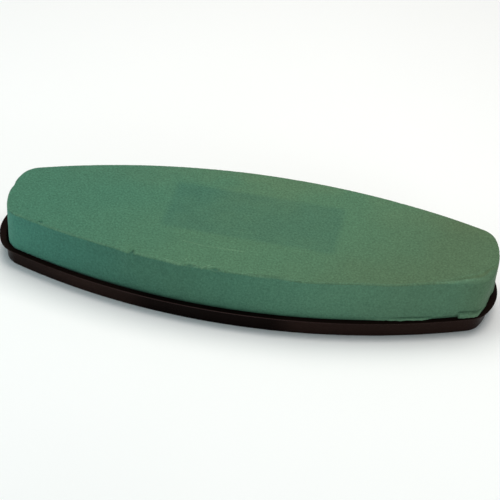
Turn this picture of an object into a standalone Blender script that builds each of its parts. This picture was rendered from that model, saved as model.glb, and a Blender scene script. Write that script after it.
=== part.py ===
"""Floral foam spray tray: a boat-shaped block of green wet foam bonded into a shallow plastic tray.

Run it with blender --background --python part.py, or from Blender's text editor.
Units are metres and +Z is up. +X runs along the tray and +Y across it. The origin is under the
tray's centre, on the surface that the tray stands on.
"""

import math
from collections import namedtuple

import bmesh
import bpy
from mathutils import Matrix, Vector

# An oval outline: two long side arcs, two end arcs, and a round corner that joins each pair.
Oval = namedtuple("Oval", "half_length half_width side_radius end_radius corner_radius")

GAP = 0.0003  # clearance between neighbouring solids

# Tray: one thin moulding with a flat flange all round its mouth, wider at the ends.
FLANGE_OVAL = Oval(0.280, 0.097, 0.700, 0.069, 0.033)
WALL_OVAL = Oval(0.2730, 0.0918, 0.6948, 0.072, 0.027)
TRAY_HEIGHT = 0.0235
TRAY_WALL = 0.0014
FLANGE_FILLET = 0.0010
WALL_DRAFT = 0.0010  # how much further in the wall stands at the floor than at the flange
FOOT_RADIUS = 0.0025
MOUTH_RADIUS = 0.0006

# Pressed ribs across the tray's floor, which hold the foam clear of standing water.
RIB_COUNT = 8
RIB_PITCH = 0.060
RIB_LENGTH = 0.090
RIB_WIDTH = 0.008
RIB_RISE = 0.0020

# Foam block: the exposed part stands on the flange, and the root fills the tray.
FOAM_OVAL = Oval(0.272, 0.091, 0.733, 0.098, 0.026)
FOAM_ABOVE_TRAY = 0.0485
FOAM_SET = Vector((0.004, 0.001, 0.0))  # the block is set a little off the tray's centre
FOAM_TURN = math.radians(0.18)
FOAM_ARRIS = 0.0015
ROOT_OVAL = Oval(0.2682, 0.0892, 0.692, 0.062, 0.026)
ROOT_SET = Vector((0.0025, 0.0, 0.0))
ROOT_DRAFT = 0.0012
ROOT_ARRIS = 0.0015

# Glue: flattened dabs of hot-melt adhesive between the tray's floor and the foam.
DAB_RADIUS = 0.011
DAB_COLUMNS = (-0.180, 0.0, 0.180)
DAB_ROWS = (-0.036, 0.036)

# Segments of each arc in one quarter of an oval, and of the small profile arcs.
END_SEGMENTS = 5
CORNER_SEGMENTS = 5
SIDE_SEGMENTS = 10
PROFILE_SEGMENTS = 3
DAB_SEGMENTS = 20
RIB_END_SEGMENTS = 6
SHARP_ANGLE = math.radians(35)

# Heights that follow from the sizes above.
FLOOR_TOP = TRAY_WALL
FOAM_BOTTOM = FLOOR_TOP + RIB_RISE + GAP
ROOT_TOP = TRAY_HEIGHT + GAP
FOAM_TOP = TRAY_HEIGHT + FOAM_ABOVE_TRAY


def clear_scene():
    for obj in list(bpy.data.objects):
        bpy.data.objects.remove(obj, do_unlink=True)


def material(name, colour, roughness, metallic=0.0):
    mat = bpy.data.materials.new(name)
    mat.use_nodes = True
    shader = mat.node_tree.nodes["Principled BSDF"]
    shader.inputs["Base Color"].default_value = (*colour, 1.0)
    shader.inputs["Roughness"].default_value = roughness
    shader.inputs["Metallic"].default_value = metallic
    mat.diffuse_color = (*colour, 1.0)
    return mat


def arc(centre, radius, start, stop, segments):
    """Points along an arc, both ends included."""
    angles = [start + (stop - start) * i / segments for i in range(segments + 1)]
    return [(centre[0] + radius * math.cos(a), centre[1] + radius * math.sin(a)) for a in angles]


def oval_quarter(oval, inset):
    """The quarter of an inset oval from +X round to +Y, as points."""
    side_y = oval.half_width - oval.side_radius
    end_x = oval.half_length - oval.end_radius

    # The corner's centre is where both arcs, drawn smaller by its radius, cross.
    to_side = oval.side_radius - oval.corner_radius
    to_end = oval.end_radius - oval.corner_radius
    apart = math.hypot(end_x, side_y)
    along = (to_side**2 - to_end**2 + apart**2) / (2 * apart)
    off = math.sqrt(to_side**2 - along**2)
    ux, uy = end_x / apart, -side_y / apart
    corner = (along * ux + off * uy, side_y + along * uy - off * ux)

    side_angle = math.atan2(corner[1] - side_y, corner[0])
    end_angle = math.atan2(corner[1], corner[0] - end_x)
    end = arc((end_x, 0.0), oval.end_radius - inset, 0.0, end_angle, END_SEGMENTS)
    turn = arc(corner, oval.corner_radius - inset, end_angle, side_angle, CORNER_SEGMENTS)
    side = arc((0.0, side_y), oval.side_radius - inset, side_angle, math.pi / 2, SIDE_SEGMENTS)
    return end + turn[1:] + side[1:]


def oval_ring(oval, inset, z, place=None):
    """A closed ring of points at height z, anticlockwise from +X, moved by place."""
    quarter = oval_quarter(oval, inset)
    half = quarter + [(-x, y) for x, y in quarter[-2::-1]]
    ring = half + [(x, -y) for x, y in half[-2:0:-1]]
    place = place or Matrix.Identity(4)
    return [place @ Vector((x, y, z)) for x, y in ring]


def circle_ring(centre, radius, z):
    around = arc(centre, radius, 0.0, 2 * math.pi, DAB_SEGMENTS)[:-1]
    return [Vector((x, y, z)) for x, y in around]


def loft(bm, rings):
    """Extrude a face from the first ring through all the others, which have equal point counts."""
    face = bm.faces.new([bm.verts.new(point) for point in rings[0]])
    region = [face]
    for ring in rings[1:]:
        raised = bmesh.ops.extrude_face_region(bm, geom=region)
        face = next(item for item in raised["geom"] if isinstance(item, bmesh.types.BMFace))
        for vert, point in zip(face.verts, ring):
            vert.co = point
        region = [face, *face.edges]
    bmesh.ops.recalc_face_normals(bm, faces=bm.faces)


def finish(name, bm, mat):
    """Turn a bmesh into a named object with smooth shading and one material."""
    mesh = bpy.data.meshes.new(name)
    bm.to_mesh(mesh)
    bm.free()
    mesh.shade_smooth()
    mesh.set_sharp_from_angle(angle=SHARP_ANGLE)
    mesh.materials.append(mat)
    obj = bpy.data.objects.new(name, mesh)
    bpy.context.scene.collection.objects.link(obj)
    return obj


def tray_rings():
    """The moulding's rings, from under the floor over the flange and back in."""
    half = TRAY_WALL / 2
    inner_foot = WALL_DRAFT + TRAY_WALL
    inner_radius = FOOT_RADIUS - TRAY_WALL
    under_flange = TRAY_HEIGHT - TRAY_WALL
    right = math.pi / 2
    outside = arc(
        (WALL_DRAFT + FOOT_RADIUS, FOOT_RADIUS), FOOT_RADIUS, -right, -2 * right, PROFILE_SEGMENTS
    )
    outside += arc(
        (-FLANGE_FILLET, under_flange - FLANGE_FILLET), FLANGE_FILLET, 0.0, right, PROFILE_SEGMENTS
    )
    lip = arc((half, TRAY_HEIGHT - half), half, -right, -3 * right, 2 * PROFILE_SEGMENTS)
    inside = arc(
        (TRAY_WALL - MOUTH_RADIUS, TRAY_HEIGHT - MOUTH_RADIUS),
        MOUTH_RADIUS, right, 0.0, PROFILE_SEGMENTS,
    )
    inside += arc(
        (inner_foot + inner_radius, FLOOR_TOP + inner_radius),
        inner_radius, 2 * right, 3 * right, PROFILE_SEGMENTS,
    )
    sections = ((WALL_OVAL, outside), (FLANGE_OVAL, lip), (WALL_OVAL, inside))
    return [oval_ring(oval, inset, z) for oval, section in sections for inset, z in section]


def rib_solid(bm, x, width, length, bottom, top):
    """A round-ended bar across the tray, added to bm."""
    radius = width / 2
    reach = length / 2 - radius
    outline = arc((x, reach), radius, 0.0, math.pi, RIB_END_SEGMENTS)
    outline += arc((x, -reach), radius, math.pi, 2 * math.pi, RIB_END_SEGMENTS)
    verts = [bm.verts.new((px, py, bottom)) for px, py in outline]
    face = bm.faces.new(verts)
    raised = bmesh.ops.extrude_face_region(bm, geom=[face])
    new_verts = [item for item in raised["geom"] if isinstance(item, bmesh.types.BMVert)]
    bmesh.ops.translate(bm, verts=new_verts, vec=(0.0, 0.0, top - bottom))


def rib_cutter(name, width, length, bottom, top):
    """All the ribs as one hidden object, for a Boolean on the tray."""
    bm = bmesh.new()
    for i in range(RIB_COUNT):
        x = (i - (RIB_COUNT - 1) / 2) * RIB_PITCH
        rib_solid(bm, x, width, length, bottom, top)
    bmesh.ops.recalc_face_normals(bm, faces=bm.faces)
    mesh = bpy.data.meshes.new(name)
    bm.to_mesh(mesh)
    bm.free()
    obj = bpy.data.objects.new(name, mesh)
    obj.hide_render = True
    obj.display_type = "WIRE"
    bpy.context.scene.collection.objects.link(obj)
    return obj


def add_boolean(obj, cutter, operation):
    modifier = obj.modifiers.new(cutter.name, "BOOLEAN")
    modifier.operation = operation
    modifier.solver = "EXACT"
    modifier.object = cutter


def build_tray(mat):
    bm = bmesh.new()
    loft(bm, tray_rings())
    tray = finish("tray", bm, mat)
    wall = TRAY_WALL
    raised = rib_cutter("rib_raised", RIB_WIDTH, RIB_LENGTH, wall / 2, FLOOR_TOP + RIB_RISE)
    hollow = rib_cutter(
        "rib_hollow", RIB_WIDTH - 2 * wall, RIB_LENGTH - 2 * wall, -wall, RIB_RISE
    )
    add_boolean(tray, raised, "UNION")
    add_boolean(tray, hollow, "DIFFERENCE")
    return tray


def build_foam(mat):
    root_place = Matrix.Translation(ROOT_SET)
    block_place = Matrix.Translation(FOAM_SET) @ Matrix.Rotation(FOAM_TURN, 4, "Z")
    rings = [
        oval_ring(ROOT_OVAL, ROOT_DRAFT + ROOT_ARRIS, FOAM_BOTTOM, root_place),
        oval_ring(ROOT_OVAL, ROOT_DRAFT, FOAM_BOTTOM + ROOT_ARRIS, root_place),
        oval_ring(ROOT_OVAL, 0.0, ROOT_TOP, root_place),
        oval_ring(FOAM_OVAL, 0.0, ROOT_TOP, block_place),
    ]
    for inset, z in arc(
        (FOAM_ARRIS, FOAM_TOP - FOAM_ARRIS), FOAM_ARRIS, math.pi, math.pi / 2, PROFILE_SEGMENTS
    ):
        rings.append(oval_ring(FOAM_OVAL, inset, z, block_place))
    bm = bmesh.new()
    loft(bm, rings)
    return finish("foam_block", bm, mat)


def build_dab(name, x, y, mat):
    """One flattened disc of adhesive, with an edge that bulges to a half round."""
    bottom = FLOOR_TOP + GAP
    bulge = (FOAM_BOTTOM - GAP - bottom) / 2
    edge = arc(
        (DAB_RADIUS - bulge, bottom + bulge), bulge, -math.pi / 2, math.pi / 2, 2 * PROFILE_SEGMENTS
    )
    bm = bmesh.new()
    loft(bm, [circle_ring((x, y), radius, z) for radius, z in edge])
    return finish(name, bm, mat)


def build_glue(mat):
    places = [(x, y) for y in DAB_ROWS for x in DAB_COLUMNS]
    for number, (x, y) in enumerate(places, start=1):
        build_dab(f"glue_dab_{number}", x, y, mat)


def main():
    clear_scene()
    tray_plastic = material("tray_plastic", (0.013, 0.008, 0.007), 0.30)
    wet_foam = material("wet_foam", (0.062, 0.165, 0.108), 0.95)
    hot_melt = material("hot_melt", (0.62, 0.55, 0.36), 0.45)
    build_tray(tray_plastic)
    build_foam(wet_foam)
    build_glue(hot_melt)


main()
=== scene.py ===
"""Floral foam spray tray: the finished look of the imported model, laid out as an add-on.

Units are metres, +Z is up, +X runs along the tray, and -Y is the side that faces the camera.
"""

import math
from collections import namedtuple

import bmesh
import bpy
from bpy.props import FloatProperty, FloatVectorProperty, PointerProperty
from mathutils import Matrix, Vector, noise


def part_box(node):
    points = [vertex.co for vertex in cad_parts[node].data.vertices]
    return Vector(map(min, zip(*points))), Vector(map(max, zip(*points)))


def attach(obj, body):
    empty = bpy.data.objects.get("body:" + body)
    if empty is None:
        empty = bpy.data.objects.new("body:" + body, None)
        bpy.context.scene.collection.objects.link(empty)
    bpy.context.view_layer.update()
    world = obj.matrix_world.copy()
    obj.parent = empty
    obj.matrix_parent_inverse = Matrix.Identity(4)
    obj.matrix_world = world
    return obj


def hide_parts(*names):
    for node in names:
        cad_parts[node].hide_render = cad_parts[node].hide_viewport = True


bl_info = {
    "name": "Floral Foam Spray Tray",
    "version": (1, 0, 0),
    "blender": (4, 5, 0),
    "location": "3D View > Sidebar > Spray Tray",
    "description": "Builds a bonded wet foam block in its moulded tray, with a small studio",
    "category": "Object",
}

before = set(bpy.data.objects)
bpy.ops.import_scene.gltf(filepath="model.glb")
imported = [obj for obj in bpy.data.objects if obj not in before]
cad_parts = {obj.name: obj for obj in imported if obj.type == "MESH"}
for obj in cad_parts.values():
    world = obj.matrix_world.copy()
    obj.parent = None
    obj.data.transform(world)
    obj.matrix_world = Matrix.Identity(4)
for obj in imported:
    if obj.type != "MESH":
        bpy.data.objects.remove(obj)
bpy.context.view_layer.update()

# ------------------------------------------------------------
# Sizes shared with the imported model
# ------------------------------------------------------------

# An oval outline: two long side arcs, two end arcs, and a round corner that joins each pair.
Oval = namedtuple("Oval", "half_length half_width side_radius end_radius corner_radius")

FLANGE_OVAL = Oval(0.280, 0.097, 0.700, 0.069, 0.033)
WALL_OVAL = Oval(0.2730, 0.0918, 0.6948, 0.072, 0.027)
TRAY_HEIGHT = 0.0235
TRAY_WALL = 0.0014
FLANGE_FILLET = 0.0010
WALL_DRAFT = 0.0010
FOOT_RADIUS = 0.0025
MOUTH_RADIUS = 0.0006
RIB_COUNT = 8
RIB_PITCH = 0.060
RIB_LENGTH = 0.090
RIB_WIDTH = 0.008
RIB_RISE = 0.0020

FOAM_OVAL = Oval(0.272, 0.091, 0.733, 0.098, 0.026)
FOAM_SET = Vector((0.004, 0.001, 0.0))
FOAM_TURN = math.radians(0.18)
FOAM_SEAT = 0.0238  # height at which the block's overhang starts, just clear of the flange
FOAM_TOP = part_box("foam_block")[1][2]
OVERHANG = 0.0035  # inset inside which the block runs on down into the tray

# Segments of each arc in one quarter of an oval, and of the small profile arcs.
END_SEGMENTS = 10
CORNER_SEGMENTS = 10
SIDE_SEGMENTS = 26
PROFILE_SEGMENTS = 5
RIB_END_SEGMENTS = 10

# ------------------------------------------------------------
# Wear on the foam block
# ------------------------------------------------------------

Dent = namedtuple("Dent", "place reach depth push")  # a soft hollow pressed in along push
Mark = namedtuple("Mark", "centre turn half_length half_width strength pale")  # a line on the top
Stretch = namedtuple("Stretch", "start full fading end")  # where along X a feature comes and goes

DENTS = (
    Dent((-0.2195, -0.0520, 0.0720), (0.0034, 0.0026, 0.0030), 0.0030, (0.25, 0.60, -0.75)),
    Dent((-0.1116, -0.0800, 0.0720), (0.0032, 0.0050, 0.0036), 0.0038, (0.10, 0.60, -0.80)),
    Dent((0.1620, 0.0800, 0.0720), (0.0022, 0.0040, 0.0030), 0.0016, (0.00, -0.50, -0.85)),
    Dent((0.1790, 0.0770, 0.0720), (0.0022, 0.0040, 0.0030), 0.0016, (0.00, -0.50, -0.85)),
    Dent((-0.2670, 0.0090, 0.0700), (0.0050, 0.0060, 0.0100), 0.0011, (0.95, -0.20, -0.20)),
    Dent((-0.2390, -0.0315, 0.0720), (0.0045, 0.0030, 0.0030), 0.0008, (0.00, 0.30, -0.95)),
    Dent((-0.1940, 0.0414, 0.0720), (0.0120, 0.0080, 0.0040), 0.0005, (0.00, 0.00, -1.00)),
)
DENT_LIMIT = 6.0  # square of the distance, in reaches, at which a dent ends
FULL_DENT_DEPTH = 0.002  # depth at which a dent counts in full, for its painted shade and for taking away edge paleness

# Straight lines on the top, turned in degrees: pale lines, which are scuff marks and painted
# highlights along a crease and a step, and dark crease lines, whose shade is painted.
MARKS = (
    Mark((-0.0505, -0.0481), -8.7, 0.0160, 0.0010, 0.36, True),
    Mark((-0.0130, -0.0502), 0.0, 0.0250, 0.0010, 0.36, True),
    Mark((-0.0296, -0.0833), 36.0, 0.0074, 0.0009, 0.55, True),
    Mark((-0.0523, -0.0773), 72.0, 0.0032, 0.0008, 0.45, True),
    Mark((-0.0650, -0.0838), -18.0, 0.0110, 0.0024, 0.20, True),
    Mark((0.0340, -0.0840), 4.0, 0.0200, 0.0016, 0.15, False),
    Mark((-0.2185, -0.0498), -43.0, 0.0045, 0.0010, 0.30, False),
    Mark((-0.1112, -0.0756), 59.0, 0.0042, 0.0012, 0.30, False),
)
MARK_HEIGHTS = (0.0680, 0.0700)  # between which, going up, the marks set in

# Along X, how pale the upright faces are, as halves: painted light and shade, lighter at the ends
# and darker left of the middle.
SIDE_PAINTED_LIGHT = (
    (-0.272, 0.70), (-0.235, 0.56), (-0.130, 0.43), (-0.050, 0.44),
    (0.030, 0.51), (0.100, 0.62), (0.160, 0.58), (0.240, 0.55),
)
SIDE_REACH = 0.28  # half the length that those rows are spread over

# The faint rectangle pressed on the top.
PATCH_CENTRE = (0.0060, 0.0115)
PATCH_TURN = math.radians(2.2)
PATCH_HALF_LENGTH = (0.0900, 0.1010)  # where its ends start to fade, and where they are gone
PATCH_HALF_WIDTH = (0.0355, 0.0452)
PATCH_HEIGHTS = (0.0695, 0.0710)

TOP_TO_SIDE = (0.0706, 0.0690)  # heights between which the top's colour turns into the sides' painted shade tint
END_TINT_HEIGHTS = (0.0716, 0.0700)
END_TINT_ALONG = (0.225, 0.270)
FOOT_SHADE_HEIGHTS = (0.024, 0.060)

# The cut faces: broad hollows with finer ripples, which come and go at these rates.
HOLLOW_RATE = 26.0
RIPPLE_RATE = 190.0
RIPPLE_SHARE = 0.35  # depth of the ripples against the hollows'
NEAR_BAND = (-0.005, 0.015)  # over which, as -y, the near side's own wear sets in

# Along the near side, as x: how soft the top arris is there.
ARRIS_RADII = (
    (-0.270, 0.0034), (-0.200, 0.0024), (-0.120, 0.0018), (-0.090, 0.0030), (-0.060, 0.0022),
    (0.010, 0.0020), (0.035, 0.0040), (0.065, 0.0020), (0.120, 0.0020), (0.200, 0.0024),
    (0.270, 0.0032),
)
FAR_ARRIS_RADIUS = 0.0016
LEAST_ARRIS_RADIUS = 0.0009
ARRIS_VARIATION = 0.28  # share by which the radius wanders
ARRIS_WAVE_RATE = 60.0
ARRIS_CRUMB_RATE = 210.0
ARRIS_CRUMB_SHARE = 0.6

# Along the near side, as x: how far the uneven hand cut leans in at the top.
LEANS = (
    (-0.272, 0.0006), (-0.248, 0.0024), (-0.160, 0.0034), (-0.128, 0.0026), (-0.119, 0.0006),
    (-0.110, 0.0026), (-0.085, 0.0026), (-0.062, 0.0014), (-0.050, 0.0028), (0.020, 0.0030),
    (0.040, 0.0042), (0.070, 0.0008), (0.130, 0.0036), (0.160, 0.0018), (0.200, 0.0038),
    (0.270, 0.0038),
)
LEAN_REACH = 0.030  # how far in across the top the lean fades out

# Along the near arris, as x: how far across the top its chips reach.
CHIPS = (
    (-0.0575, 0.0), (-0.0520, 0.0052), (-0.0450, 0.0026), (-0.0385, 0.0),
    (-0.0355, 0.0), (-0.0238, 0.0062), (-0.0140, 0.0),
)
CHIP_STEEPNESS = 1.7
LEAST_FACET = 0.0004  # narrower facets are left out
FACET_LINE_WIDTH = 0.0011  # of the pale line along a facet's upper side, from wear and a painted highlight
FACET_LINE_DEPTHS = (0.0020, 0.0006)  # below the top, where that line fades and where it's full

BEVEL_ALONG = (0.185, 0.256)  # where the arris widens into a flat bevel
BEVEL_ACROSS = (0.008, 0.030)  # the same, as -y
BEVEL_WIDTH = 0.0120
BEVEL_DROP = 0.0050
BEVEL_LEAST = 0.05  # share of the drop that is kept where there's no bevel, so it never is zero
WORN_END = (0.248, 0.264)  # along which the pale arris fades out at the +X end
WORN_END_LOSS = 0.6

# How pale each kind of wear and painted edge highlight makes the foam.
ARRIS_PALE, CHIP_PALE, BEVEL_PALE, LIP_PALE, TONGUE_PALE = 0.8, 0.9, 0.35, 1.6, 0.5

LIP = Stretch(0.130, 0.180, 0.202, 0.214)  # the lowest edge is pressed outwards over the flange
LIP_PUSH = 0.0016
LIP_RAGGEDNESS = 0.0005
LIP_FADE = (0.0006, 0.0026)  # heights above the seat between which the lip ends
FOLD = Stretch(0.168, 0.180, 0.206, 0.214)  # a fold above the lip
FOLD_HEIGHT = 0.0030
FOLD_HALF_WIDTH = 0.0011
FOLD_DEPTH = 0.0026
GAP = Stretch(0.206, 0.2455, 0.2387, 0.2395)  # it stands off the flange, up to the torn tongue
GAP_RISE = 0.0036
GAP_FADE = 0.012  # height above the seat at which nothing is lifted any more
TONGUE = Stretch(0.2385, 0.2415, 0.2580, 0.2660)
TONGUE_PUSH = 0.0026
TONGUE_SIDE = -0.020  # the tongue lies at smaller y only
CRACK = ((0.2395, 0.0311), (0.2640, 0.0297))  # x and height at both ends of the crack above it
CRACK_DEPTH = 0.0034
CRACK_HALF_WIDTH = 0.0010
CRACK_RAGGEDNESS = 0.0004
TORN_RATE = 130.0  # of the noise that makes lip and crack ragged
EDGE_MARGIN = 0.003  # how far in past the overhang the lower edge is still worked

CORNER_ALONG = (0.256, 0.272)  # the near corner at the +X end, worn back low down
CORNER_HEIGHTS = (0.034, 0.058)
CORNER_WEAR = 0.0034

# Where the block's skin is divided finer.
TORN_ZONE_FROM = 0.166
TORN_ZONE_HEIGHTS = (0.0232, 0.0350)
TORN_ZONE_CUTS = 2
ARRIS_ZONE_FROM = 0.0675
ARRIS_ZONE_INSET = 0.0060
ARRIS_ZONE_CUTS = 1


# ------------------------------------------------------------
# Outlines
# ------------------------------------------------------------

def arc(centre, radius, start, stop, segments):
    """Points along an arc, both ends included."""
    angles = [start + (stop - start) * i / segments for i in range(segments + 1)]
    return [(centre[0] + radius * math.cos(a), centre[1] + radius * math.sin(a)) for a in angles]


def oval_centres(oval):
    """The side arc's centre height, the end arc's centre, and the corner arc's centre."""
    side_y = oval.half_width - oval.side_radius
    end_x = oval.half_length - oval.end_radius
    to_side = oval.side_radius - oval.corner_radius
    to_end = oval.end_radius - oval.corner_radius
    apart = math.hypot(end_x, side_y)
    along = (to_side**2 - to_end**2 + apart**2) / (2 * apart)
    off = math.sqrt(to_side**2 - along**2)
    ux, uy = end_x / apart, -side_y / apart
    corner = (along * ux + off * uy, side_y + along * uy - off * ux)
    return side_y, end_x, corner


def oval_ring(oval, inset, z):
    """A closed ring of points at height z, anticlockwise from +X."""
    side_y, end_x, corner = oval_centres(oval)
    side_angle = math.atan2(corner[1] - side_y, corner[0])
    end_angle = math.atan2(corner[1], corner[0] - end_x)
    quarter = arc((end_x, 0.0), oval.end_radius - inset, 0.0, end_angle, END_SEGMENTS)
    quarter += arc(
        corner, oval.corner_radius - inset, end_angle, side_angle, CORNER_SEGMENTS
    )[1:]
    quarter += arc(
        (0.0, side_y), oval.side_radius - inset, side_angle, math.pi / 2, SIDE_SEGMENTS
    )[1:]
    half = quarter + [(-x, y) for x, y in quarter[-2::-1]]
    ring = half + [(x, -y) for x, y in half[-2:0:-1]]
    return [Vector((x, y, z)) for x, y in ring]


class OvalEdge:
    """How far a point lies inside an oval, and the way in from its edge."""

    def __init__(self, oval):
        self.oval = oval
        self.side_y, self.end_x, self.corner = oval_centres(oval)
        self.side_angle = math.atan2(self.corner[1] - self.side_y, self.corner[0])
        self.end_angle = math.atan2(self.corner[1], self.corner[0] - self.end_x)

    def inset(self, x, y):
        """The distance in from the edge, negative outside, and the level direction inwards."""
        ax, ay = abs(x), abs(y)
        if math.atan2(ay - self.side_y, ax) >= self.side_angle:
            centre, radius = (0.0, self.side_y), self.oval.side_radius
        elif ax > self.end_x and math.atan2(ay, ax - self.end_x) <= self.end_angle:
            centre, radius = (self.end_x, 0.0), self.oval.end_radius
        else:
            centre, radius = self.corner, self.oval.corner_radius
        dx, dy = ax - centre[0], ay - centre[1]
        length = math.hypot(dx, dy) or 1.0
        inward = Vector((-math.copysign(dx, x) / length, -math.copysign(dy, y) / length, 0.0))
        if dx < 0:
            inward.x = -inward.x
        return radius - length, inward


# ------------------------------------------------------------
# Mesh helpers
# ------------------------------------------------------------

def loft(bm, rings):
    """Extrude a face from the first ring through all the others, which have equal point counts."""
    face = bm.faces.new([bm.verts.new(point) for point in rings[0]])
    region = [face]
    for ring in rings[1:]:
        raised = bmesh.ops.extrude_face_region(bm, geom=region)
        face = next(item for item in raised["geom"] if isinstance(item, bmesh.types.BMFace))
        for vert, point in zip(face.verts, ring):
            vert.co = point
        region = [face, *face.edges]
    bmesh.ops.recalc_face_normals(bm, faces=bm.faces)


def piece_from(name, bm):
    """Turn a bmesh into a linked object."""
    mesh = bpy.data.meshes.new(name)
    bm.to_mesh(mesh)
    bm.free()
    obj = bpy.data.objects.new(name, mesh)
    bpy.context.scene.collection.objects.link(obj)
    return obj


def apply_modifiers(obj):
    """Keep the shape that the object's modifiers make, and drop them."""
    depsgraph = bpy.context.evaluated_depsgraph_get()
    mesh = bpy.data.meshes.new_from_object(obj.evaluated_get(depsgraph))
    obj.modifiers.clear()
    old = obj.data
    obj.data = mesh
    bpy.data.meshes.remove(old)
    mesh.name = obj.name


def smoothstep(value, low, high):
    """0 up to low, 1 from high on, and a smooth rise between them."""
    t = min(1.0, max(0.0, (value - low) / (high - low)))
    return t * t * (3.0 - 2.0 * t)


def along_table(table, value):
    """The value of a table of (place, size) rows, straight between its rows."""
    if value <= table[0][0]:
        return table[0][1]
    for (x0, y0), (x1, y1) in zip(table, table[1:]):
        if value <= x1:
            return y0 + (y1 - y0) * (value - x0) / (x1 - x0)
    return table[-1][1]


def presence(x, stretch):
    """How much of a feature there is at x: 0 outside its stretch, 1 where it is full."""
    rising = smoothstep(x, stretch.start, stretch.full)
    return rising * (1.0 - smoothstep(x, stretch.fading, stretch.end))


# ------------------------------------------------------------
# Node helpers
# ------------------------------------------------------------

class Nodes:
    """A short way to write a material's node tree."""

    def __init__(self, name):
        self.mat = bpy.data.materials.new(name)
        self.mat.use_nodes = True
        self.tree = self.mat.node_tree
        self.shader = self.tree.nodes["Principled BSDF"]

    def add(self, kind, sockets=None, **settings):
        node = self.tree.nodes.new(kind)
        for key, value in settings.items():
            setattr(node, key, value)
        for key, value in (sockets or {}).items():
            self.put(value, node.inputs[key])
        return node

    def put(self, value, socket):
        if isinstance(value, bpy.types.NodeSocket):
            self.tree.links.new(value, socket)
        else:
            socket.default_value = value

    def object_place(self):
        return self.add("ShaderNodeTexCoord").outputs["Object"]

    def mapping(self, vector, location=(0, 0, 0), rotation=(0, 0, 0), scale=(1, 1, 1)):
        node = self.add("ShaderNodeMapping", {"Vector": vector})
        node.inputs["Location"].default_value = location
        node.inputs["Rotation"].default_value = rotation
        node.inputs["Scale"].default_value = scale
        return node.outputs[0]

    def noise(self, vector, scale, detail=2.0, roughness=0.5):
        node = self.add(
            "ShaderNodeTexNoise",
            {"Vector": vector, "Scale": scale, "Detail": detail, "Roughness": roughness},
        )
        return node.outputs["Fac"]

    def cells(self, vector, scale):
        node = self.add("ShaderNodeTexVoronoi", {"Vector": vector, "Scale": scale}, feature="F1")
        return node.outputs["Distance"]

    def math(self, operation, first, second=0.0, third=0.0, clamp=False):
        node = self.add("ShaderNodeMath", operation=operation, use_clamp=clamp)
        for socket, value in zip(node.inputs, (first, second, third)):
            self.put(value, socket)
        return node.outputs[0]

    def ramp(self, value, low, high, to_low=0.0, to_high=1.0, smooth=True):
        node = self.add(
            "ShaderNodeMapRange",
            {"Value": value, "From Min": low, "From Max": high,
             "To Min": to_low, "To Max": to_high},
            interpolation_type="SMOOTHSTEP" if smooth else "LINEAR",
        )
        return node.outputs[0]

    def stops(self, value, low, high, table):
        """A curve through (place, height) rows, as a grey colour ramp."""
        node = self.add("ShaderNodeValToRGB", {"Fac": self.ramp(value, low, high, smooth=False)})
        ramp = node.color_ramp
        ramp.interpolation = "B_SPLINE"
        while len(ramp.elements) < len(table):
            ramp.elements.new(0.5)
        for element, (place, height) in zip(ramp.elements, table):
            element.position = (place - low) / (high - low)
            element.color = (height, height, height, 1.0)
        return node.outputs["Color"]

    def mix(self, amount, first, second, blend="MIX"):
        node = self.add("ShaderNodeMix", data_type="RGBA", blend_type=blend)
        self.put(amount, node.inputs[0])
        self.put(first, node.inputs[6])
        self.put(second, node.inputs[7])
        return node.outputs[2]

    def scale_colour(self, colour, factor):
        """The colour times a number."""
        node = self.add("ShaderNodeVectorMath", operation="SCALE")
        self.put(colour[:3] if isinstance(colour, tuple) else colour, node.inputs[0])
        self.put(factor, node.inputs["Scale"])
        return node.outputs[0]

    def separate(self, vector):
        return self.add("ShaderNodeSeparateXYZ", {"Vector": vector}).outputs

    def attribute(self, name):
        return self.add("ShaderNodeAttribute", attribute_name=name).outputs["Fac"]

    def bump(self, height, strength, distance, normal=None):
        node = self.add(
            "ShaderNodeBump", {"Height": height, "Strength": strength, "Distance": distance}
        )
        if normal is not None:
            self.put(normal, node.inputs["Normal"])
        return node.outputs[0]

    def surface(self, **values):
        for key, value in values.items():
            self.put(value, self.shader.inputs[key.replace("_", " ")])
        return self.mat


def opaque(colour):
    """An RGB colour with full alpha."""
    return (colour[0], colour[1], colour[2], 1.0)


# ------------------------------------------------------------
# Settings
# ------------------------------------------------------------

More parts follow.
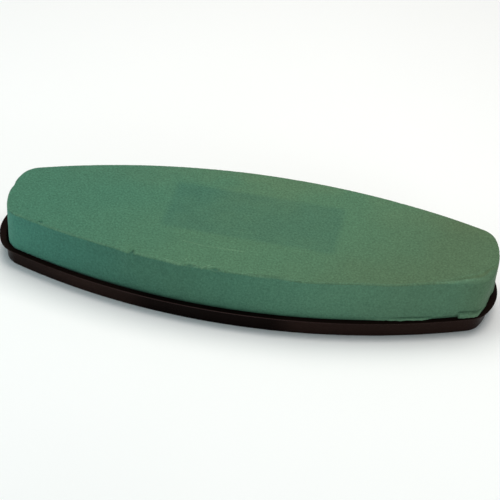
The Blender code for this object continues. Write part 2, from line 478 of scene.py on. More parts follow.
class FoamBlockSettings(bpy.types.PropertyGroup):
    """Size of the mesh, and colours of the wet foam."""

    voxel: FloatProperty(
        name="Voxel", description="Edge length of the block's surface mesh",
        default=0.0020, min=0.0010, max=0.0100, unit="LENGTH", precision=4,
    )
    unevenness: FloatProperty(
        name="Unevenness", description="How deep the soft hollows of the cut faces are",
        default=0.00035, min=0.0, max=0.0020, unit="LENGTH", precision=5,
    )
    cool_green: FloatVectorProperty(
        name="Cool Green", description="Foam colour at the cool end of the block",
        subtype="COLOR", default=(0.057, 0.172, 0.109), min=0.0, max=1.0,
    )
    fresh_green: FloatVectorProperty(
        name="Fresh Green", description="Foam colour across the middle of the block",
        subtype="COLOR", default=(0.078, 0.178, 0.101), min=0.0, max=1.0,
    )
    warm_green: FloatVectorProperty(
        name="Warm Green", description="Foam colour at the warm end of the block",
        subtype="COLOR", default=(0.082, 0.148, 0.079), min=0.0, max=1.0,
    )
    far_tint: FloatVectorProperty(
        name="Far Tint", description="Tint of the drier drifts along the far side",
        subtype="COLOR", default=(1.13, 1.0, 0.97), min=0.0, max=1.5,
    )
    # Painted shade: the upright faces are tinted cooler and lower in red than the top, standing in
    # for their dimmer, cooler light.
    side_shade_tint: FloatVectorProperty(
        name="Side Tint", description="Tint of the upright faces against the top",
        subtype="COLOR", default=(0.83, 0.99, 1.13), min=0.0, max=1.5,
    )
    end_tint: FloatVectorProperty(
        name="End Tint", description="Tint of the upright face at the warm end",
        subtype="COLOR", default=(1.00, 0.88, 0.82), min=0.0, max=1.5,
    )
    # Pale edges: wear on crumbled cells, with painted highlights along the arrises, facets and
    # lower lip.
    wear_and_highlight_tint: FloatVectorProperty(
        name="Rubbed Tint", description="Colour of the crushed, dusty cells on edges and dents",
        subtype="COLOR", default=(0.120, 0.235, 0.145), min=0.0, max=1.0,
    )
    # Also the colour of the painted highlights along a crease and a step.
    scuff_and_highlight_tint: FloatVectorProperty(
        name="Scuff Tint", description="Colour of the straight scuffs on the top",
        subtype="COLOR", default=(0.160, 0.290, 0.170), min=0.0, max=1.0,
    )
    pressed_tint: FloatVectorProperty(
        name="Pressed Tint", description="Tint of the faint rectangle pressed on the top",
        subtype="COLOR", default=(0.79, 0.86, 0.93), min=0.0, max=1.0,
    )


class TraySettings(bpy.types.PropertyGroup):
    """Colours and finish of the moulded tray."""

    plastic: FloatVectorProperty(
        name="Plastic", description="Colour of the moulded plastic",
        subtype="COLOR", default=(0.0030, 0.0014, 0.0012), min=0.0, max=1.0,
    )
    # The paler, browner stretches of the wall are flow marks with a painted reflection of the
    # floor.
    plastic_flow_and_reflection: FloatVectorProperty(
        name="Lighter Plastic", description="Colour of its paler, browner flow marks",
        subtype="COLOR", default=(0.0205, 0.0104, 0.0082), min=0.0, max=1.0,
    )
    # A painted highlight: the pale line along the flange's outer rim.
    rim_highlight: FloatVectorProperty(
        name="Rim", description="Colour of the rubbed outer rim of the flange",
        subtype="COLOR", default=(0.0420, 0.0250, 0.0240), min=0.0, max=1.0,
    )
    roughness: FloatProperty(
        name="Roughness", description="Mean roughness of the satin finish",
        default=0.27, min=0.0, max=1.0, subtype="FACTOR",
    )


class GlueSettings(bpy.types.PropertyGroup):
    """Finish of the hot-melt dabs under the block."""

    adhesive: FloatVectorProperty(
        name="Adhesive", description="Colour of the cured adhesive",
        subtype="COLOR", default=(0.62, 0.55, 0.36), min=0.0, max=1.0,
    )


class StudioSettings(bpy.types.PropertyGroup):
    """Camera, floor and lights."""

    lens: FloatProperty(
        name="Lens", description="Focal length of the camera",
        default=108.0, min=20.0, max=300.0, unit="CAMERA",
    )
    floor_size: FloatProperty(
        name="Floor Size", description="Side of the square floor",
        default=24.0, min=2.0, max=100.0, unit="LENGTH",
    )
    floor_colour: FloatVectorProperty(
        name="Floor Colour", description="Colour of the plain floor",
        subtype="COLOR", default=(0.97, 0.97, 0.97), min=0.0, max=1.0,
    )
    sky_strength: FloatProperty(
        name="Surround Strength", description="Brightness of the even light from all round",
        default=0.26, min=0.0, max=5.0,
    )
    top_power: FloatProperty(
        name="Top Light", description="Power of the soft light overhead",
        default=26.5, min=0.0, max=500.0, unit="POWER",
    )
    left_power: FloatProperty(
        name="Left Light", description="Power of the cool soft light at the left",
        default=8.0, min=0.0, max=500.0, unit="POWER",
    )
    front_power: FloatProperty(
        name="Front Light", description="Power of the soft fill light in front",
        default=7.5, min=0.0, max=500.0, unit="POWER",
    )
    right_power: FloatProperty(
        name="Right Light", description="Power of the warm soft light at the right",
        default=0.9, min=0.0, max=500.0, unit="POWER",
    )


# ------------------------------------------------------------
# Foam block
# ------------------------------------------------------------

def block_place(x, y):
    """A point across the block, moved from the tray's frame to the block's own."""
    dx, dy = x - FOAM_SET.x, y - FOAM_SET.y
    c, s = math.cos(FOAM_TURN), math.sin(FOAM_TURN)
    return dx * c + dy * s, dy * c - dx * s


def arris_radius(x, y):
    """How round the block's top edge is at this place."""
    near = along_table(ARRIS_RADII, x)
    radius = FAR_ARRIS_RADIUS + (near - FAR_ARRIS_RADIUS) * smoothstep(-y, -0.03, 0.03)
    waves = noise.noise(Vector((x, y, 0.0)) * ARRIS_WAVE_RATE)
    crumbs = noise.noise(Vector((x, y, 3.0)) * ARRIS_CRUMB_RATE)
    uneven = waves + ARRIS_CRUMB_SHARE * crumbs
    return radius * (1.0 + ARRIS_VARIATION * uneven * smoothstep(-y, -0.06, 0.04))


def round_arris(point, inset, inward, x, y):
    """Move a surface point near the top edge onto a rounded arris, and tell how pale it is there
    from wear and a painted highlight.
    """
    radius = max(LEAST_ARRIS_RADIUS, arris_radius(x, y))
    below = FOAM_TOP - point.z
    if inset >= radius or below >= radius:
        return point, 0.0
    reach = math.hypot(radius - inset, radius - below)
    if reach < 1e-6:
        return point, 0.0
    shrink = radius / reach
    new_inset = radius - (radius - inset) * shrink
    new_below = radius - (radius - below) * shrink
    moved = point + inward * (new_inset - inset)
    moved.z = FOAM_TOP - new_below
    rubbed = 1.0 - abs(new_inset - new_below) / radius
    return moved, rubbed


def cut_flat(point, inset, inward, across, down):
    """Cut the top edge to a flat facet, and tell how near a point is to the facet's upper line."""
    if across < LEAST_FACET:
        return point, 0.0
    spare = 1.0 - max(0.0, inset) / across - (FOAM_TOP - point.z) / down
    fades, full = FACET_LINE_DEPTHS
    on_top = smoothstep(point.z, FOAM_TOP - fades, FOAM_TOP - full)
    line = math.exp(-(((inset - across) / FACET_LINE_WIDTH) ** 2)) * on_top
    if spare > 0.0:
        point = point + inward * (across * spare / 2)
        point.z -= down * spare / 2
    return point, line


def lean_in(point, inset, x, near):
    """Lean the near side in, and draw the top in with it.

    Only the lower half of the smooth rise is used, so the lean is steepest at the top.
    """
    height = smoothstep(point.z, FOAM_SEAT, 2 * FOAM_TOP - FOAM_SEAT) * 2.0
    share = max(0.0, 1.0 - max(0.0, inset) / LEAN_REACH)
    return point + Vector((0.0, along_table(LEANS, x) * height * share * near, 0.0))


def press_dents(point):
    """Push a point into every hollow that reaches it."""
    moved, deepest = point.copy(), 0.0
    for dent in DENTS:
        rel = [(point[i] - dent.place[i]) / dent.reach[i] for i in range(3)]
        square = rel[0] ** 2 + rel[1] ** 2 + rel[2] ** 2
        if square < DENT_LIMIT:
            weight = math.exp(-square)
            moved += Vector(dent.push).normalized() * dent.depth * weight
            deepest = max(deepest, weight * dent.depth / FULL_DENT_DEPTH)
    return moved, deepest


def shape_lower_edge(point, inset, inward, x, near):
    """The lip, the gap and the torn tongue along the near lower edge."""
    if near <= 0.0 or inset > OVERHANG + EDGE_MARGIN:
        return point, 0.0
    moved = point.copy()
    above = point.z - FOAM_SEAT
    ragged = noise.noise(Vector((x * TORN_RATE, 0.0, 7.0)))

    # A pressed lip, thin and pale, below a fold.
    lip = presence(x, LIP)
    low = 1.0 - smoothstep(above, *LIP_FADE)
    moved -= inward * (LIP_PUSH + LIP_RAGGEDNESS * ragged) * lip * low * near
    rubbed = LIP_PALE * lip * low
    slit = max(0.0, 1.0 - abs(above - FOLD_HEIGHT) / FOLD_HALF_WIDTH)
    moved += inward * FOLD_DEPTH * presence(x, FOLD) * slit * near

    # The edge lifts off the flange towards the tongue.
    rise = min(1.0, 2.0 * presence(x, GAP))
    settle = 1.0 - smoothstep(above, 0.0, GAP_FADE)
    moved.z += GAP_RISE * rise * settle * near

    # The tongue bulges below a crack that runs into the block.
    ends = presence(x, TONGUE)
    if ends > 0.0 and point.y < TONGUE_SIDE:
        (from_x, from_z), (to_x, to_z) = CRACK
        span = (x - from_x) / (to_x - from_x)
        crack_z = from_z + (to_z - from_z) * span + CRACK_RAGGEDNESS * ragged
        slit = max(0.0, 1.0 - abs(point.z - crack_z) / CRACK_HALF_WIDTH)
        moved += inward * CRACK_DEPTH * ends * slit
        below_crack = 1.0 - smoothstep(point.z, crack_z - 0.0006, crack_z + 0.0002)
        moved -= inward * TONGUE_PUSH * ends * below_crack * (1.0 - slit)
        rubbed = max(rubbed, TONGUE_PALE * ends * below_crack * (1.0 - slit))
    return moved, rubbed


def wear_corner(point, inward, x, near):
    """The near corner at the +X end is worn back low down."""
    amount = smoothstep(x, *CORNER_ALONG) * near
    band = 1.0 - smoothstep(point.z, *CORNER_HEIGHTS)
    return point + inward * (CORNER_WEAR * band) * amount


def sculpt_block(mesh, unevenness):
    """Move the block's points, and note where they are pale from wear and painted edge highlights,
    and how deep they are dented.
    """
    edge = OvalEdge(FOAM_OVAL)
    wear_and_highlight_layer = mesh.attributes.new("rubbed", "FLOAT", "POINT")
    hollow_layer = mesh.attributes.new("hollow", "FLOAT", "POINT")
    for index, vert in enumerate(mesh.vertices):
        point = vert.co.copy()
        x, y = block_place(point.x, point.y)
        inset, inward = edge.inset(x, y)
        exposed = smoothstep(point.z, FOAM_SEAT - 0.0008, FOAM_SEAT - 0.0001)
        if inset > OVERHANG and point.z < FOAM_SEAT + 0.001:
            exposed = 0.0
        rubbed = hollow = 0.0
        if exposed > 0.0:
            near = smoothstep(-point.y, *NEAR_BAND)
            hollows = 0.5 + 0.5 * noise.noise(point * HOLLOW_RATE)
            ripples = 0.5 + 0.5 * noise.noise(point * RIPPLE_RATE)
            sunk = unevenness * hollows + RIPPLE_SHARE * unevenness * ripples
            on_top = smoothstep(point.z, FOAM_TOP - 0.0005, FOAM_TOP - 0.0001)
            away = inward * (1.0 - on_top) - Vector((0.0, 0.0, 1.0)) * on_top
            point += away * sunk * min(1.0, exposed)
            point, on_arris = round_arris(point, inset, inward, x, y)
            chip = along_table(CHIPS, x) * near
            point, on_chip = cut_flat(point, inset, inward, chip, CHIP_STEEPNESS * chip)
            widening = smoothstep(x, *BEVEL_ALONG) * smoothstep(-y, *BEVEL_ACROSS)
            drop = BEVEL_DROP * max(BEVEL_LEAST, widening)
            point, on_bevel = cut_flat(point, inset, inward, BEVEL_WIDTH * widening, drop)
            fading = 1.0 - WORN_END_LOSS * smoothstep(x, *WORN_END)
            rubbed = max(
                ARRIS_PALE * on_arris * fading, CHIP_PALE * on_chip, BEVEL_PALE * on_bevel * fading
            )
            point, hollow = press_dents(point)
            point = wear_corner(point, inward, point.x, near)
            point, on_lip = shape_lower_edge(point, inset, inward, point.x, near)
            point = lean_in(point, inset, x, near)
            rubbed = max(rubbed * (1.0 - min(1.0, hollow)), on_lip)
            if inset < OVERHANG:
                point.z = max(point.z, FOAM_SEAT - 0.0001)
        vert.co = point
        wear_and_highlight_layer.data[index].value = rubbed
        hollow_layer.data[index].value = min(1.0, hollow)


def refine(bm, inside, cuts):
    """Divide the edges whose middle is inside a region."""
    edges = [e for e in bm.edges if inside((e.verts[0].co + e.verts[1].co) / 2)]
    bmesh.ops.subdivide_edges(bm, edges=edges, cuts=cuts, use_grid_fill=True)


def build_block_mesh(voxel):
    """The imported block's solid as one even skin, finer where it is worn."""
    bm = bmesh.new()
    bm.from_mesh(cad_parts["foam_block"].data)
    bmesh.ops.remove_doubles(bm, verts=bm.verts, dist=1e-5)
    block = piece_from("wet_foam_block", bm)
    remesh = block.modifiers.new("even_skin", "REMESH")
    remesh.mode = "VOXEL"
    remesh.voxel_size = voxel
    apply_modifiers(block)

    edge = OvalEdge(FOAM_OVAL)
    low, high = TORN_ZONE_HEIGHTS

    def on_torn_edge(p):
        return p.y < TONGUE_SIDE and p.x > TORN_ZONE_FROM and low < p.z < high

    def on_arris(p):
        return p.z > ARRIS_ZONE_FROM and edge.inset(*block_place(p.x, p.y))[0] < ARRIS_ZONE_INSET

    bm = bmesh.new()
    bm.from_mesh(block.data)
    refine(bm, on_torn_edge, TORN_ZONE_CUTS)
    refine(bm, on_arris, ARRIS_ZONE_CUTS)
    bm.to_mesh(block.data)
    bm.free()
    return block


def line_mark(n, place, mark):
    """A short straight line with soft edges, faded towards its ends."""
    centred = n.mapping(place, location=(-mark.centre[0], -mark.centre[1], 0.0))
    turned = n.mapping(centred, rotation=(0.0, 0.0, -math.radians(mark.turn)))
    along, across, _ = n.separate(turned)
    length = n.ramp(
        n.math("ABSOLUTE", along), 0.6 * mark.half_length, mark.half_length, mark.strength, 0.0
    )
    width = n.ramp(n.math("ABSOLUTE", across), 0.2 * mark.half_width, mark.half_width, 1.0, 0.0)
    return n.math("MULTIPLY", length, width)


def foam_material(settings):
    """Damp open-cell foam, coloured by place, height and wear."""
    n = Nodes("wet_foam_green")
    place = n.object_place()
    x, y, z = n.separate(place)

    # From the cool end to the warm one, with broad drifts.
    drift = n.noise(place, 7.0, 3.0)
    along = n.math("ADD", n.math("MULTIPLY_ADD", y, -0.5, x), n.ramp(drift, 0.3, 0.7, -0.05, 0.05))
    colour = n.mix(
        n.ramp(along, -0.26, 0.02), opaque(settings.cool_green), opaque(settings.fresh_green)
    )
    colour = n.mix(n.ramp(along, 0.06, 0.28), colour, opaque(settings.warm_green))
    far_drift = n.math("MULTIPLY", n.ramp(y, 0.015, 0.075), n.ramp(n.noise(place, 13.0), 0.3, 0.6))
    colour = n.mix(far_drift, colour, opaque(settings.far_tint), blend="MULTIPLY")
    # Painted shade on the upright faces: they are tinted cooler and lower in red than the top.
    upright = n.ramp(z, *TOP_TO_SIDE)
    colour = n.mix(upright, colour, opaque(settings.side_shade_tint), blend="MULTIPLY")
    # Painted light and shade on the upright faces, lighter or darker by place along X.
    side_painted_light = n.math("MULTIPLY", n.stops(x, -SIDE_REACH, SIDE_REACH, SIDE_PAINTED_LIGHT), 2.0)
    side_painted_light = n.math("MULTIPLY_ADD", upright, n.math("SUBTRACT", side_painted_light, 1.0), 1.0)

    # A faint rectangle pressed on the top.
    centred = n.mapping(place, location=(-PATCH_CENTRE[0], -PATCH_CENTRE[1], 0.0))
    px, py, _ = n.separate(n.mapping(centred, rotation=(0, 0, PATCH_TURN)))
    patch = n.math(
        "MULTIPLY",
        n.ramp(n.math("ABSOLUTE", px), *PATCH_HALF_LENGTH, 1.0, 0.0),
        n.ramp(n.math("ABSOLUTE", py), *PATCH_HALF_WIDTH, 1.0, 0.0),
    )
    patch = n.math("MULTIPLY", patch, n.ramp(z, *PATCH_HEIGHTS))
    patch = n.math("MULTIPLY", patch, n.ramp(n.noise(place, 35.0), 0.2, 0.7, 0.65, 1.0))
    colour = n.mix(patch, colour, opaque(settings.pressed_tint), blend="MULTIPLY")

    # Pale arrises from wear and painted highlights, with the paleness broken up.
    breakup = n.ramp(n.noise(place, 160.0, 3.0), 0.32, 0.62, 0.35, 1.0)
    rubbed = n.math("MULTIPLY", n.attribute("rubbed"), breakup, clamp=True)
    colour = n.mix(n.math("MULTIPLY", rubbed, 0.75), colour, opaque(settings.wear_and_highlight_tint))
    warmed = n.math("MULTIPLY", n.ramp(z, *END_TINT_HEIGHTS), n.ramp(x, *END_TINT_ALONG))
    colour = n.mix(warmed, colour, opaque(settings.end_tint), blend="MULTIPLY")
    hollow = n.attribute("hollow")

    # Straight lines across the top: pale scuff marks and painted highlights, and crease lines
    # darkened with painted shade.
    top_face = n.ramp(z, *MARK_HEIGHTS)
    scuffs_and_highlights = crease_shade = 0.0
    for mark in MARKS:
        here = n.math("MULTIPLY", line_mark(n, place, mark), top_face)
        if mark.pale:
            scuffs_and_highlights = n.math("MAXIMUM", scuffs_and_highlights, here)
        else:
            crease_shade = n.math("MAXIMUM", crease_shade, here)
    colour = n.mix(scuffs_and_highlights, colour, opaque(settings.scuff_and_highlight_tint))

    # Mottling at three sizes: clouds, specks and single cells.
    clouds = n.ramp(n.noise(place, 55.0, 4.0, 0.6), 0.25, 0.75, 0.95, 1.05, smooth=False)
    specks = n.ramp(n.noise(place, 430.0, 3.0, 0.65), 0.28, 0.72, -0.26, 0.26, smooth=False)
    specks = n.math("MULTIPLY_ADD", specks, n.ramp(upright, 0.0, 1.0, 1.0, 0.74), 1.0)
    cell = n.cells(place, 1400.0)
    pits = n.ramp(cell, 0.0, 0.75, 0.88, 1.08, smooth=False)
    foot = n.math("MULTIPLY", n.ramp(z, *FOOT_SHADE_HEIGHTS, 0.94, 1.0), side_painted_light)
    shade = n.math("MULTIPLY", n.math("MULTIPLY", clouds, specks), n.math("MULTIPLY", pits, foot))
    # Painted shade in the dents: up to 8 % darker where they are deep.
    shade = n.math("MULTIPLY", shade, n.ramp(hollow, 0.2, 1.0, 1.0, 0.92))
    # Painted shade in the crease lines.
    shade = n.math("MULTIPLY", shade, n.math("SUBTRACT", 1.0, crease_shade))
    colour = n.scale_colour(colour, shade)

    # Open cells, crumbs and drawn saw marks in the relief.
    saw = n.noise(n.mapping(place, scale=(420.0, 420.0, 24.0)), 1.0, 2.0)
    relief = n.bump(saw, 0.10, 0.00035)
    relief = n.bump(n.noise(place, 300.0, 4.0, 0.7), 0.45, 0.00060, relief)
    relief = n.bump(cell, 0.45, 0.00035, relief)
    relief = n.bump(n.math("SUBTRACT", scuffs_and_highlights, crease_shade), 0.5, 0.0006, relief)
    roughness = n.ramp(specks, 0.74, 1.26, 0.98, 0.86, smooth=False)
    return n.surface(
        Base_Color=colour, Roughness=roughness, Normal=relief,
        Specular_IOR_Level=0.20, Sheen_Weight=0.06, Sheen_Roughness=0.45,
    )


class SPRAYTRAY_OT_foam_block(bpy.types.Operator):
    """Build the worn wet foam block in place of its plain solid"""

    bl_idname = "spray_tray.foam_block"
    bl_label = "Build Foam Block"

    def execute(self, context):
        settings = context.scene.spray_tray_foam
        block = build_block_mesh(settings.voxel)
        sculpt_block(block.data, settings.unevenness)
        block.data.shade_smooth()
        block.data.materials.clear()
        block.data.materials.append(foam_material(settings))
        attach(block, "root")
        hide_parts("foam_block")
        return {"FINISHED"}


# ------------------------------------------------------------
# Tray
# ------------------------------------------------------------

# Places in the plastic's colour: distances along X from a shifted middle, and heights.
# The wall's dark middle stretch, where a dark reflection is painted in place of the paler flow
# marks.
DARK_REFLECTION_SHIFT = 0.022
DARK_REFLECTION_STRETCH = (0.062, 0.100)  # none of the paler flow marks and painted reflection nearer than the first, all of them from the second
# Where the flange's top gets painted shade: along X, and in height.
FLANGE_SHADE_ENDS = (0.245, 0.275)
FLANGE_SHADE_HEIGHTS = (0.0231, 0.0234)
# Where the rim's painted highlight line runs, and where along X it is brightest.
RIM_HEIGHT = 0.0229
RIM_HALF_WIDTH = (0.0002, 0.0006)
BRIGHT_RIM_SHIFT = 0.040
BRIGHT_RIM = (0.06, 0.20)
SHARP_ANGLE = math.radians(40)


def tray_rings():
    """The moulding's rings, from under the floor over the flange and back in."""
    half = TRAY_WALL / 2
    inner_foot = WALL_DRAFT + TRAY_WALL
    inner_radius = FOOT_RADIUS - TRAY_WALL
    under_flange = TRAY_HEIGHT - TRAY_WALL
    right = math.pi / 2
    outside = arc(
        (WALL_DRAFT + FOOT_RADIUS, FOOT_RADIUS), FOOT_RADIUS, -right, -2 * right, PROFILE_SEGMENTS
    )
    outside += arc(
        (-FLANGE_FILLET, under_flange - FLANGE_FILLET), FLANGE_FILLET, 0.0, right, PROFILE_SEGMENTS
    )
    lip = arc((half, TRAY_HEIGHT - half), half, -right, -3 * right, 2 * PROFILE_SEGMENTS)
    inside = arc(
        (TRAY_WALL - MOUTH_RADIUS, TRAY_HEIGHT - MOUTH_RADIUS),
        MOUTH_RADIUS, right, 0.0, PROFILE_SEGMENTS,
    )
    inside += arc(
        (inner_foot + inner_radius, TRAY_WALL + inner_radius),
        inner_radius, 2 * right, 3 * right, PROFILE_SEGMENTS,
    )
    sections = ((WALL_OVAL, outside), (FLANGE_OVAL, lip), (WALL_OVAL, inside))
    return [oval_ring(oval, inset, z) for oval, section in sections for inset, z in section]


def rib_tool(name, width, length, bottom, top):
    """All the ribs as one tool object, for a Boolean on the tray."""
    bm = bmesh.new()
    radius = width / 2
    reach = length / 2 - radius
    for i in range(RIB_COUNT):
        x = (i - (RIB_COUNT - 1) / 2) * RIB_PITCH
        outline = arc((x, reach), radius, 0.0, math.pi, RIB_END_SEGMENTS)
        outline += arc((x, -reach), radius, math.pi, 2 * math.pi, RIB_END_SEGMENTS)
        face = bm.faces.new([bm.verts.new((px, py, bottom)) for px, py in outline])
        raised = bmesh.ops.extrude_face_region(bm, geom=[face])
        verts = [item for item in raised["geom"] if isinstance(item, bmesh.types.BMVert)]
        bmesh.ops.translate(bm, verts=verts, vec=(0.0, 0.0, top - bottom))
    bmesh.ops.recalc_face_normals(bm, faces=bm.faces)
    return piece_from(name, bm)


def cut_with(obj, tool, operation):
    """Add an exact Boolean of the tool to the object."""
    modifier = obj.modifiers.new(tool.name, "BOOLEAN")
    modifier.operation = operation
    modifier.solver = "EXACT"
    modifier.object = tool


def build_tray_mesh():
    """The smooth moulding, with its ribs pressed up from below."""
    bm = bmesh.new()
    loft(bm, tray_rings())
    tray = piece_from("moulded_tray", bm)
    wall = TRAY_WALL
    raised = rib_tool("rib_raised", RIB_WIDTH, RIB_LENGTH, wall / 2, wall + RIB_RISE)
    hollow = rib_tool("rib_hollow", RIB_WIDTH - 2 * wall, RIB_LENGTH - 2 * wall, -wall, RIB_RISE)
    cut_with(tray, raised, "UNION")
    cut_with(tray, hollow, "DIFFERENCE")
    apply_modifiers(tray)
    for tool in (raised, hollow):
        bpy.data.objects.remove(tool, do_unlink=True)
    return tray


def plastic_material(settings):
    """Dark moulded plastic with paler flow marks that carry a painted reflection, painted shade on
    the flange top, a painted highlight line along the rim, and fine scratches.
    """
    n = Nodes("tray_dark_brown")
    place = n.object_place()
    x, _, z = n.separate(place)

    # Paler flow marks in the wall, which also carry a painted reflection of the floor: a dark
    # reflection is painted in a middle stretch without them, they weaken towards +X, and they are
    # mostly gone on the flange top.
    flow = n.noise(n.mapping(place, scale=(4.0, 12.0, 30.0)), 1.0, 3.0)
    fine = n.noise(place, 240.0, 3.0, 0.6)
    paler = n.math("MULTIPLY_ADD", fine, 0.30, n.ramp(flow, 0.35, 0.65, 0.35, 0.85), clamp=True)
    from_dark_reflection = n.math("ABSOLUTE", n.math("ADD", x, DARK_REFLECTION_SHIFT))
    paler = n.math("MULTIPLY", paler, n.ramp(from_dark_reflection, *DARK_REFLECTION_STRETCH))
    paler = n.math("MULTIPLY", paler, n.ramp(x, -0.05, 0.10, 1.0, 0.76))
    colour = n.mix(paler, opaque(settings.plastic), opaque(settings.plastic_flow_and_reflection))
    # Painted shade on the flange's top next to the block, weaker towards the ends.
    flange_shade = n.ramp(n.math("ABSOLUTE", x), *FLANGE_SHADE_ENDS, 0.75, 0.1)
    on_top = n.math("MULTIPLY", n.ramp(z, *FLANGE_SHADE_HEIGHTS), flange_shade)
    colour = n.mix(on_top, colour, opaque(settings.plastic))

    # The thin pale line of the rim: a painted highlight.
    from_rim = n.math("ABSOLUTE", n.math("SUBTRACT", z, RIM_HEIGHT))
    rim = n.ramp(from_rim, *RIM_HALF_WIDTH, 1.0, 0.0)
    from_bright = n.math("ABSOLUTE", n.math("ADD", x, BRIGHT_RIM_SHIFT))
    rim = n.math("MULTIPLY", rim, n.ramp(from_bright, *BRIGHT_RIM, 0.8, 0.1))
    colour = n.mix(rim, colour, opaque(settings.rim_highlight))

    # Scratches along the tray, and a slightly uneven surface.
    scratches = n.noise(n.mapping(place, scale=(26.0, 900.0, 900.0)), 1.0, 2.0, 0.6)
    rough = n.math("MULTIPLY_ADD", flow, 0.14, settings.roughness - 0.10)
    rough = n.math("MULTIPLY_ADD", n.ramp(scratches, 0.55, 0.75), 0.16, rough)
    relief = n.bump(n.noise(place, 700.0, 3.0), 0.10, 0.00012)
    relief = n.bump(scratches, 0.08, 0.00010, relief)
    relief = n.bump(n.noise(place, 40.0, 2.0), 0.10, 0.0006, relief)
    return n.surface(
        Base_Color=colour, Roughness=rough, Normal=relief, Specular_IOR_Level=0.04,
        Specular_Tint=(1.0, 0.66, 0.56, 1.0),
    )


class SPRAYTRAY_OT_tray(bpy.types.Operator):
    """Build the smooth moulded tray in place of its faceted solid"""

    bl_idname = "spray_tray.tray"
    bl_label = "Build Tray"

    def execute(self, context):
        tray = build_tray_mesh()
        tray.data.shade_smooth()
        tray.data.set_sharp_from_angle(angle=SHARP_ANGLE)
        tray.data.materials.clear()
        tray.data.materials.append(plastic_material(context.scene.spray_tray_tray))
        even = tray.modifiers.new("even_shading", "WEIGHTED_NORMAL")
        even.keep_sharp = True
        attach(tray, "root")
        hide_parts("tray")
        return {"FINISHED"}


# ------------------------------------------------------------
# Glue
# ------------------------------------------------------------

def adhesive_material(settings):
    """Cloudy amber hot-melt glue."""
    n = Nodes("cured_hot_melt")
    place = n.object_place()
    cloudy = n.noise(place, 220.0, 3.0)
    amber = n.scale_colour(opaque(settings.adhesive), n.ramp(cloudy, 0.3, 0.7, 0.82, 1.08))
    rough = n.ramp(n.noise(place, 500.0, 2.0), 0.3, 0.7, 0.35, 0.60)
    relief = n.bump(cloudy, 0.3, 0.0004)
    return n.surface(
        Base_Color=amber, Roughness=rough, Normal=relief, Subsurface_Weight=0.15,
        Subsurface_Scale=0.002,
    )


class SPRAYTRAY_OT_glue(bpy.types.Operator):
    """Give the six dabs of adhesive under the block their finish"""

    bl_idname = "spray_tray.glue"
    bl_label = "Finish Glue Dabs"

    def execute(self, context):
        adhesive = adhesive_material(context.scene.spray_tray_glue)
        for name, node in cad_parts.items():
            if name.startswith("glue_dab"):
                if not node.material_slots:
                    raise RuntimeError(f"{name} has no material slot")
                for slot in node.material_slots:
                    slot.link = "OBJECT"
                    slot.material = adhesive
        return {"FINISHED"}


# ------------------------------------------------------------
# Studio
# ------------------------------------------------------------

CAMERA_AZIMUTH = math.radians(7.90)
CAMERA_ELEVATION = math.radians(39.08)
CAMERA_ROLL = math.radians(-3.30)
CAMERA_DISTANCE = 1.6623
CAMERA_AIM = Vector((0.0048, 0.0, 0.0341))
SENSOR_WIDTH = 36.0  # millimetres

# Each light, with the setting that holds its power.
SoftLight = namedtuple("SoftLight", "name setting place aim size colour")
LIGHTS = (
    SoftLight("top_light", "top_power", (0.10, 0.35, 1.70), (0.0, 0.0, 0.0), (1.8, 1.4),
              (1.0, 0.96, 0.91)),
    SoftLight("left_light", "left_power", (-1.55, -0.45, 0.75), (0.0, 0.0, 0.04), (1.0, 0.9),
              (0.74, 0.96, 1.0)),
    SoftLight("right_light", "right_power", (1.45, -0.65, 0.65), (0.0, 0.0, 0.04), (0.9, 0.9),
              (1.0, 0.95, 0.93)),
    SoftLight("front_light", "front_power", (1.25, -1.30, 0.50), (0.12, 0.0, 0.04), (0.9, 0.6),
              (0.84, 1.0, 1.0)),
)
SURROUND_COLOUR = (0.90, 0.97, 1.0, 1.0)


def add_camera(lens):
    """A camera that looks down on the near side, turned a little about its own axis."""
    back = Vector((
        math.sin(CAMERA_AZIMUTH) * math.cos(CAMERA_ELEVATION),
        -math.cos(CAMERA_AZIMUTH) * math.cos(CAMERA_ELEVATION),
        math.sin(CAMERA_ELEVATION),
    ))
    level = Vector((math.cos(CAMERA_AZIMUTH), math.sin(CAMERA_AZIMUTH), 0.0))
    turned = Matrix((level, back.cross(level), back)).transposed().to_4x4()
    turned = turned @ Matrix.Rotation(-CAMERA_ROLL, 4, "Z")
    data = bpy.data.cameras.new("studio_camera")
    data.lens = lens
    data.sensor_width = SENSOR_WIDTH
    data.clip_start = 0.05
    data.dof.use_dof = False
    camera = bpy.data.objects.new("studio_camera", data)
    camera.matrix_world = Matrix.Translation(CAMERA_AIM + back * CAMERA_DISTANCE) @ turned
    bpy.context.scene.collection.objects.link(camera)
    bpy.context.scene.camera = camera


def add_light(light, power):
    """A soft rectangular light, turned to its aim."""
    data = bpy.data.lights.new(light.name, "AREA")
    data.shape = "RECTANGLE"
    data.size, data.size_y = light.size
    data.energy = power
    data.color = light.colour
    lamp = bpy.data.objects.new(light.name, data)
    away = Vector(light.place) - Vector(light.aim)
    turned = away.to_track_quat("Z", "Y").to_matrix().to_4x4()
    lamp.matrix_world = Matrix.Translation(light.place) @ turned
    bpy.context.scene.collection.objects.link(lamp)


def add_floor(size, colour):
    """A plain matt floor with a barely uneven tone."""
    bm = bmesh.new()
    bmesh.ops.create_grid(bm, x_segments=2, y_segments=2, size=size / 2)
    floor = piece_from("studio_floor", bm)
    n = Nodes("pale_floor")
    place = n.object_place()
    tone = n.ramp(n.noise(place, 3.0, 3.0), 0.3, 0.7, 0.992, 1.0)
    floor.data.materials.append(n.surface(
        Base_Color=n.scale_colour(opaque(colour), tone), Roughness=0.85, Specular_IOR_Level=0.1,
    ))


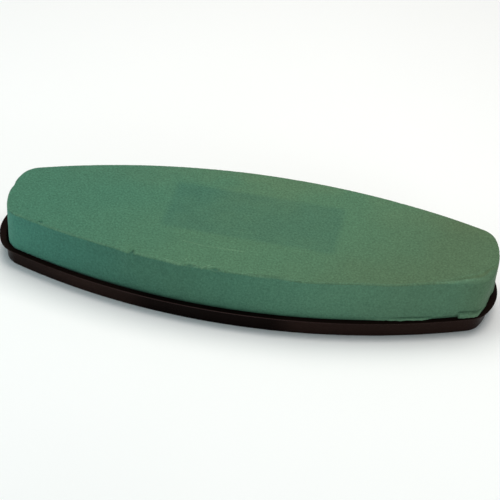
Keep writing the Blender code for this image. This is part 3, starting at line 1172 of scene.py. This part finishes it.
class SPRAYTRAY_OT_studio(bpy.types.Operator):
    """Set up the pale floor, the soft lights and the camera"""

    bl_idname = "spray_tray.studio"
    bl_label = "Set Up Studio"

    def execute(self, context):
        settings = context.scene.spray_tray_studio
        scene = context.scene
        add_camera(settings.lens)
        add_floor(settings.floor_size, settings.floor_colour)
        for light in LIGHTS:
            add_light(light, getattr(settings, light.setting))
        world = bpy.data.worlds.new("studio_surround")
        world.use_nodes = True
        background = world.node_tree.nodes["Background"]
        background.inputs["Color"].default_value = SURROUND_COLOUR
        background.inputs["Strength"].default_value = settings.sky_strength
        scene.world = world
        scene.view_settings.view_transform = "Standard"
        return {"FINISHED"}


# ------------------------------------------------------------
# Panel and registration
# ------------------------------------------------------------

class SPRAYTRAY_PT_panel(bpy.types.Panel):
    """Lists the steps that build the spray tray"""

    bl_label = "Spray Tray"
    bl_idname = "SPRAYTRAY_PT_panel"
    bl_space_type = "VIEW_3D"
    bl_region_type = "UI"
    bl_category = "Spray Tray"

    def draw(self, context):
        for operator, group in STEPS:
            box = self.layout.box()
            box.operator(operator.bl_idname)
            settings = getattr(context.scene, group)
            for name in settings.__annotations__:
                box.prop(settings, name)


STEPS = (
    (SPRAYTRAY_OT_studio, "spray_tray_studio"),
    (SPRAYTRAY_OT_foam_block, "spray_tray_foam"),
    (SPRAYTRAY_OT_tray, "spray_tray_tray"),
    (SPRAYTRAY_OT_glue, "spray_tray_glue"),
)
GROUPS = {
    "spray_tray_studio": StudioSettings,
    "spray_tray_foam": FoamBlockSettings,
    "spray_tray_tray": TraySettings,
    "spray_tray_glue": GlueSettings,
}


def register():
    for name, group in GROUPS.items():
        bpy.utils.register_class(group)
        setattr(bpy.types.Scene, name, PointerProperty(type=group))
    for operator, _ in STEPS:
        bpy.utils.register_class(operator)
    bpy.utils.register_class(SPRAYTRAY_PT_panel)


def unregister():
    bpy.utils.unregister_class(SPRAYTRAY_PT_panel)
    for operator, _ in reversed(STEPS):
        bpy.utils.unregister_class(operator)
    for name, group in GROUPS.items():
        delattr(bpy.types.Scene, name)
        bpy.utils.unregister_class(group)


def main():
    """Build every piece and the studio."""
    register()
    bpy.ops.spray_tray.studio()
    bpy.ops.spray_tray.foam_block()
    bpy.ops.spray_tray.tray()
    bpy.ops.spray_tray.glue()


if __name__ == "__main__":
    main()
